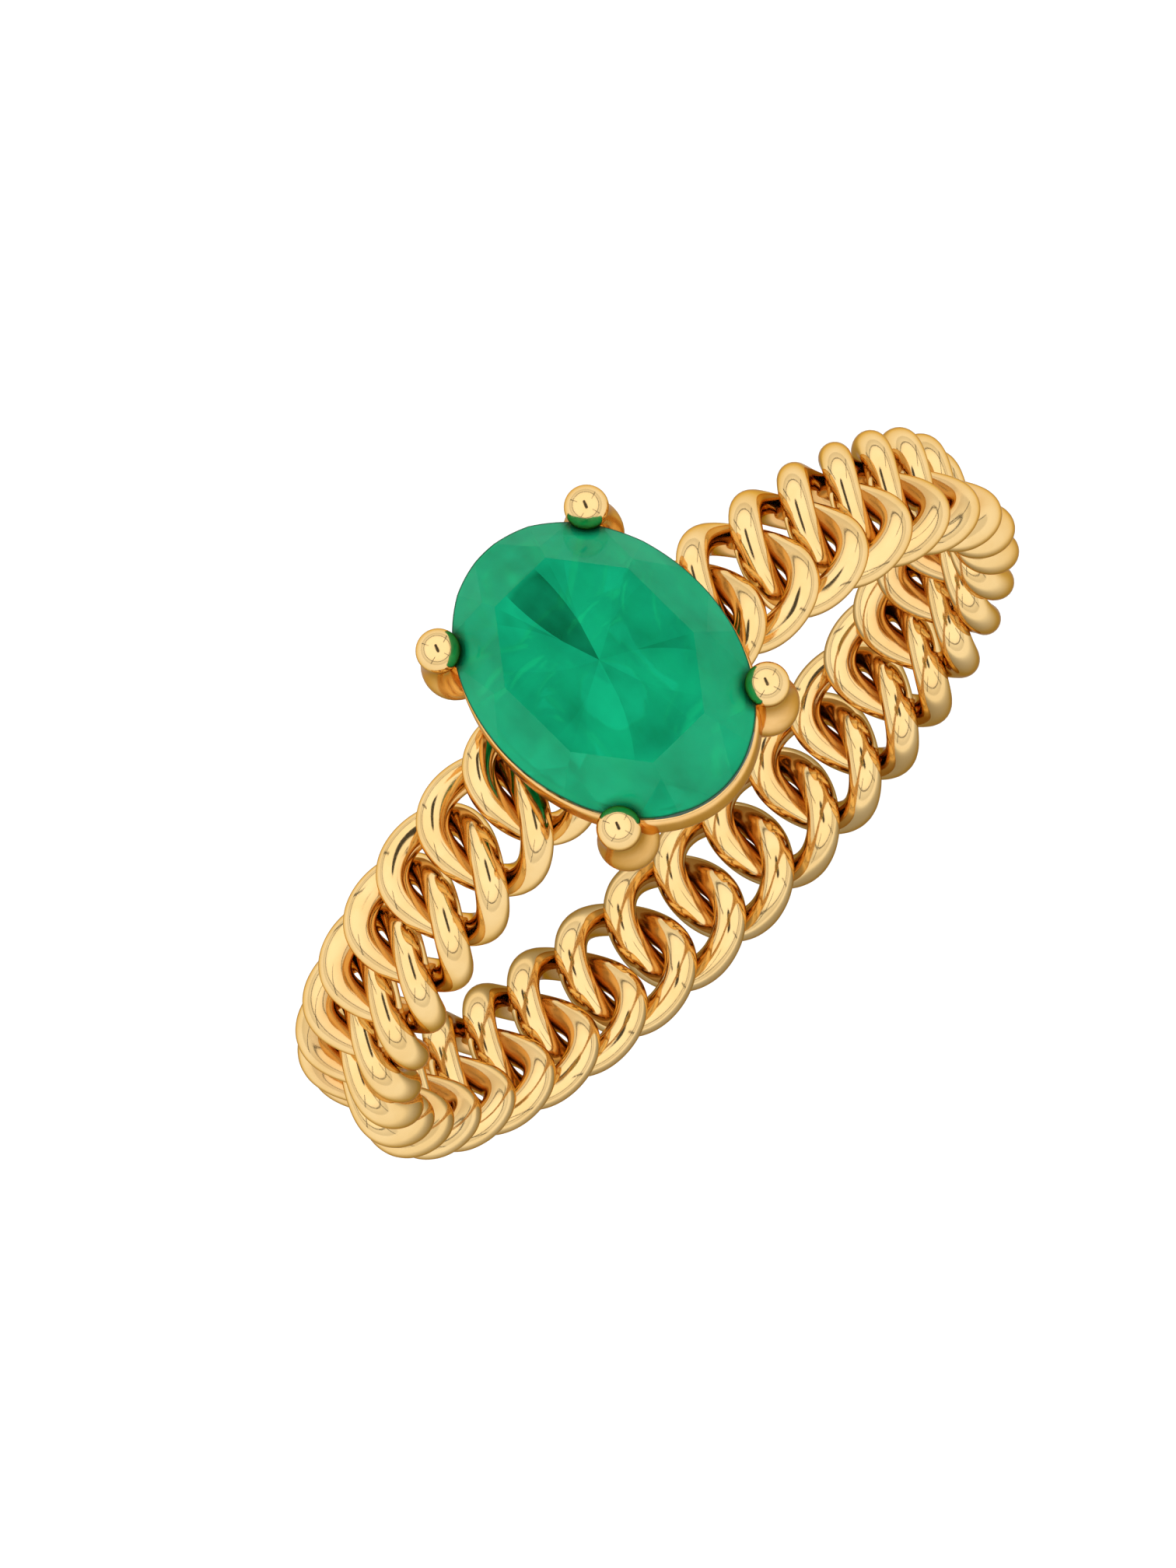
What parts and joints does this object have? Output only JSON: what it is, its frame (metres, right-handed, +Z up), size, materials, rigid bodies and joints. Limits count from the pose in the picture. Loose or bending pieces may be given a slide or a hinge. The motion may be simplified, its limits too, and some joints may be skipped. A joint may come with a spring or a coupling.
{
  "type": "cocktail ring",
  "caption": "Finger ring: an oval faceted green stone in a head with four beaded claws, on a flexible band of twisted round-wire curb links.",
  "frame": {"origin": "centre of the finger opening, on the finger's axis and in the band's middle plane", "axes": "+Z up through the stone, Y along the finger, X across the finger"},
  "size_m": [0.0208, 0.008, 0.0232],
  "materials": {
    "gold": "polished yellow gold",
    "satin_gold": "softly polished yellow gold",
    "emerald": "faceted and polished green stone, slightly milky"
  },
  "bodies": {
    "head": {"emerald": "emerald", "claw_front_left": "satin_gold", "claw_front_right": "satin_gold", "claw_back_left": "satin_gold", "claw_back_right": "satin_gold", "gallery_rail": "satin_gold", "bridge": "gold"},
    "link_01": {"link_01": "gold"},
    "link_02": {"link_02": "gold"},
    "link_03": {"link_03": "gold"},
    "link_04": {"link_04": "gold"},
    "link_05": {"link_05": "gold"},
    "link_06": {"link_06": "gold"},
    "link_07": {"link_07": "gold"},
    "link_08": {"link_08": "gold"},
    "link_09": {"link_09": "gold"},
    "link_10": {"link_10": "gold"},
    "link_11": {"link_11": "gold"},
    "link_12": {"link_12": "gold"},
    "link_13": {"link_13": "gold"},
    "link_14": {"link_14": "gold"},
    "link_15": {"link_15": "gold"},
    "link_16": {"link_16": "gold"},
    "link_17": {"link_17": "gold"},
    "link_18": {"link_18": "gold"},
    "link_19": {"link_19": "gold"},
    "link_20": {"link_20": "gold"},
    "link_21": {"link_21": "gold"},
    "link_22": {"link_22": "gold"},
    "link_23": {"link_23": "gold"},
    "link_24": {"link_24": "gold"},
    "link_25": {"link_25": "gold"},
    "link_26": {"link_26": "gold"},
    "link_27": {"link_27": "gold"},
    "link_28": {"link_28": "gold"},
    "link_29": {"link_29": "gold"},
    "link_30": {"link_30": "gold"},
    "link_31": {"link_31": "gold"},
    "link_32": {"link_32": "gold"},
    "link_33": {"link_33": "gold"},
    "link_34": {"link_34": "gold"}
  },
  "joints": [
    {"name": "hinge_right_01", "type": "hinge", "parent": "head", "child": "link_01", "pos_m": [0.00169, 0, 0.00959], "axis": [0, 1, 0], "range_deg": [-4.5, 4.5]},
    {"name": "hinge_left_01", "type": "hinge", "parent": "head", "child": "link_34", "pos_m": [-0.00169, 0, 0.00959], "axis": [0, 1, 0], "range_deg": [-4.55, 4.55]},
    {"name": "hinge_right_02", "type": "hinge", "parent": "link_01", "child": "link_02", "pos_m": [0.00333, 0, 0.00915], "axis": [0, 1, 0], "range_deg": [-3.77, 3.77]},
    {"name": "hinge_left_02", "type": "hinge", "parent": "link_34", "child": "link_33", "pos_m": [-0.00333, 0, 0.00915], "axis": [0, 1, 0], "range_deg": [-3.77, 3.77]},
    {"name": "hinge_right_03", "type": "hinge", "parent": "link_02", "child": "link_03", "pos_m": [0.00487, 0, 0.00843], "axis": [0, 1, 0], "range_deg": [-2.57, 2.57]},
    {"name": "hinge_left_03", "type": "hinge", "parent": "link_33", "child": "link_32", "pos_m": [-0.00487, 0, 0.00843], "axis": [0, 1, 0], "range_deg": [-2.57, 2.57]},
    {"name": "hinge_right_04", "type": "hinge", "parent": "link_03", "child": "link_04", "pos_m": [0.00626, 0, 0.00746], "axis": [0, 1, 0], "range_deg": [-1.1, 1.1]},
    {"name": "hinge_left_04", "type": "hinge", "parent": "link_32", "child": "link_31", "pos_m": [-0.00626, 0, 0.00746], "axis": [0, 1, 0], "range_deg": [-1.1, 1.1]},
    {"name": "hinge_right_05", "type": "hinge", "parent": "link_04", "child": "link_05", "pos_m": [0.00746, 0, 0.00626], "axis": [0, 1, 0], "range_deg": [-0.57, 0.57]},
    {"name": "hinge_left_05", "type": "hinge", "parent": "link_31", "child": "link_30", "pos_m": [-0.00746, 0, 0.00626], "axis": [0, 1, 0], "range_deg": [-0.57, 0.57]},
    {"name": "hinge_right_06", "type": "hinge", "parent": "link_05", "child": "link_06", "pos_m": [0.00843, 0, 0.00487], "axis": [0, 1, 0], "range_deg": [-2.04, 2.04]},
    {"name": "hinge_left_06", "type": "hinge", "parent": "link_30", "child": "link_29", "pos_m": [-0.00843, 0, 0.00487], "axis": [0, 1, 0], "range_deg": [-2.04, 2.04]},
    {"name": "hinge_right_07", "type": "hinge", "parent": "link_06", "child": "link_07", "pos_m": [0.00915, 0, 0.00333], "axis": [0, 1, 0], "range_deg": [-3.24, 3.24]},
    {"name": "hinge_left_07", "type": "hinge", "parent": "link_29", "child": "link_28", "pos_m": [-0.00915, 0, 0.00333], "axis": [0, 1, 0], "range_deg": [-3.24, 3.24]},
    {"name": "hinge_right_08", "type": "hinge", "parent": "link_07", "child": "link_08", "pos_m": [0.00959, 0, 0.00169], "axis": [0, 1, 0], "range_deg": [-4.02, 4.02]},
    {"name": "hinge_left_08", "type": "hinge", "parent": "link_28", "child": "link_27", "pos_m": [-0.00959, 0, 0.00169], "axis": [0, 1, 0], "range_deg": [-4.02, 4.02]},
    {"name": "hinge_right_09", "type": "hinge", "parent": "link_08", "child": "link_09", "pos_m": [0.00974, 0, 0], "axis": [0, 1, 0], "range_deg": [-4.29, 4.29]},
    {"name": "hinge_left_09", "type": "hinge", "parent": "link_27", "child": "link_26", "pos_m": [-0.00974, 0, 0], "axis": [0, 1, 0], "range_deg": [-4.29, 4.29]},
    {"name": "hinge_right_10", "type": "hinge", "parent": "link_09", "child": "link_10", "pos_m": [0.00959, 0, -0.00169], "axis": [0, 1, 0], "range_deg": [-4.02, 4.02]},
    {"name": "hinge_left_10", "type": "hinge", "parent": "link_26", "child": "link_25", "pos_m": [-0.00959, 0, -0.00169], "axis": [0, 1, 0], "range_deg": [-4.02, 4.02]},
    {"name": "hinge_right_11", "type": "hinge", "parent": "link_10", "child": "link_11", "pos_m": [0.00915, 0, -0.00333], "axis": [0, 1, 0], "range_deg": [-3.24, 3.24]},
    {"name": "hinge_left_11", "type": "hinge", "parent": "link_25", "child": "link_24", "pos_m": [-0.00915, 0, -0.00333], "axis": [0, 1, 0], "range_deg": [-3.24, 3.24]},
    {"name": "hinge_right_12", "type": "hinge", "parent": "link_11", "child": "link_12", "pos_m": [0.00843, 0, -0.00487], "axis": [0, 1, 0], "range_deg": [-2.04, 2.04]},
    {"name": "hinge_left_12", "type": "hinge", "parent": "link_24", "child": "link_23", "pos_m": [-0.00843, 0, -0.00487], "axis": [0, 1, 0], "range_deg": [-2.04, 2.04]},
    {"name": "hinge_right_13", "type": "hinge", "parent": "link_12", "child": "link_13", "pos_m": [0.00746, 0, -0.00626], "axis": [0, 1, 0], "range_deg": [-0.57, 0.57]},
    {"name": "hinge_left_13", "type": "hinge", "parent": "link_23", "child": "link_22", "pos_m": [-0.00746, 0, -0.00626], "axis": [0, 1, 0], "range_deg": [-0.57, 0.57]},
    {"name": "hinge_right_14", "type": "hinge", "parent": "link_13", "child": "link_14", "pos_m": [0.00626, 0, -0.00746], "axis": [0, 1, 0], "range_deg": [-1.1, 1.1]},
    {"name": "hinge_left_14", "type": "hinge", "parent": "link_22", "child": "link_21", "pos_m": [-0.00626, 0, -0.00746], "axis": [0, 1, 0], "range_deg": [-1.1, 1.1]},
    {"name": "hinge_right_15", "type": "hinge", "parent": "link_14", "child": "link_15", "pos_m": [0.00487, 0, -0.00843], "axis": [0, 1, 0], "range_deg": [-2.57, 2.57]},
    {"name": "hinge_left_15", "type": "hinge", "parent": "link_21", "child": "link_20", "pos_m": [-0.00487, 0, -0.00843], "axis": [0, 1, 0], "range_deg": [-2.57, 2.57]},
    {"name": "hinge_right_16", "type": "hinge", "parent": "link_15", "child": "link_16", "pos_m": [0.00333, 0, -0.00915], "axis": [0, 1, 0], "range_deg": [-3.77, 3.77]},
    {"name": "hinge_left_16", "type": "hinge", "parent": "link_20", "child": "link_19", "pos_m": [-0.00333, 0, -0.00915], "axis": [0, 1, 0], "range_deg": [-3.77, 3.77]},
    {"name": "hinge_right_17", "type": "hinge", "parent": "link_16", "child": "link_17", "pos_m": [0.00169, 0, -0.00959], "axis": [0, 1, 0], "range_deg": [-4.55, 4.55]},
    {"name": "hinge_left_17", "type": "hinge", "parent": "link_19", "child": "link_18", "pos_m": [-0.00169, 0, -0.00959], "axis": [0, 1, 0], "range_deg": [-4.55, 4.55]}
  ],
  "couplings": [
    {"joint": "hinge_left_01", "follows": "hinge_right_01", "ratio": -1},
    {"joint": "hinge_right_02", "follows": "hinge_right_01", "ratio": 0.82609},
    {"joint": "hinge_left_02", "follows": "hinge_right_01", "ratio": -0.82609},
    {"joint": "hinge_right_03", "follows": "hinge_right_01", "ratio": 0.55965},
    {"joint": "hinge_left_03", "follows": "hinge_right_01", "ratio": -0.55965},
    {"joint": "hinge_right_04", "follows": "hinge_right_01", "ratio": 0.23282},
    {"joint": "hinge_left_04", "follows": "hinge_right_01", "ratio": -0.23282},
    {"joint": "hinge_right_05", "follows": "hinge_right_01", "ratio": -0.115},
    {"joint": "hinge_left_05", "follows": "hinge_right_01", "ratio": 0.115},
    {"joint": "hinge_right_06", "follows": "hinge_right_01", "ratio": -0.44183},
    {"joint": "hinge_left_06", "follows": "hinge_right_01", "ratio": 0.44183},
    {"joint": "hinge_right_07", "follows": "hinge_right_01", "ratio": -0.70827},
    {"joint": "hinge_left_07", "follows": "hinge_right_01", "ratio": 0.70827},
    {"joint": "hinge_right_08", "follows": "hinge_right_01", "ratio": -0.88218},
    {"joint": "hinge_left_08", "follows": "hinge_right_01", "ratio": 0.88218},
    {"joint": "hinge_right_09", "follows": "hinge_right_01", "ratio": -0.94258},
    {"joint": "hinge_left_09", "follows": "hinge_right_01", "ratio": 0.94258},
    {"joint": "hinge_right_10", "follows": "hinge_right_01", "ratio": -0.88218},
    {"joint": "hinge_left_10", "follows": "hinge_right_01", "ratio": 0.88218},
    {"joint": "hinge_right_11", "follows": "hinge_right_01", "ratio": -0.70827},
    {"joint": "hinge_left_11", "follows": "hinge_right_01", "ratio": 0.70827},
    {"joint": "hinge_right_12", "follows": "hinge_right_01", "ratio": -0.44183},
    {"joint": "hinge_left_12", "follows": "hinge_right_01", "ratio": 0.44183},
    {"joint": "hinge_right_13", "follows": "hinge_right_01", "ratio": -0.115},
    {"joint": "hinge_left_13", "follows": "hinge_right_01", "ratio": 0.115},
    {"joint": "hinge_right_14", "follows": "hinge_right_01", "ratio": 0.23282},
    {"joint": "hinge_left_14", "follows": "hinge_right_01", "ratio": -0.23282},
    {"joint": "hinge_right_15", "follows": "hinge_right_01", "ratio": 0.55965},
    {"joint": "hinge_left_15", "follows": "hinge_right_01", "ratio": -0.55965},
    {"joint": "hinge_right_16", "follows": "hinge_right_01", "ratio": 0.82609},
    {"joint": "hinge_left_16", "follows": "hinge_right_01", "ratio": -0.82609},
    {"joint": "hinge_right_17", "follows": "hinge_right_01", "ratio": 1},
    {"joint": "hinge_left_17", "follows": "hinge_right_01", "ratio": -1}
  ]
}
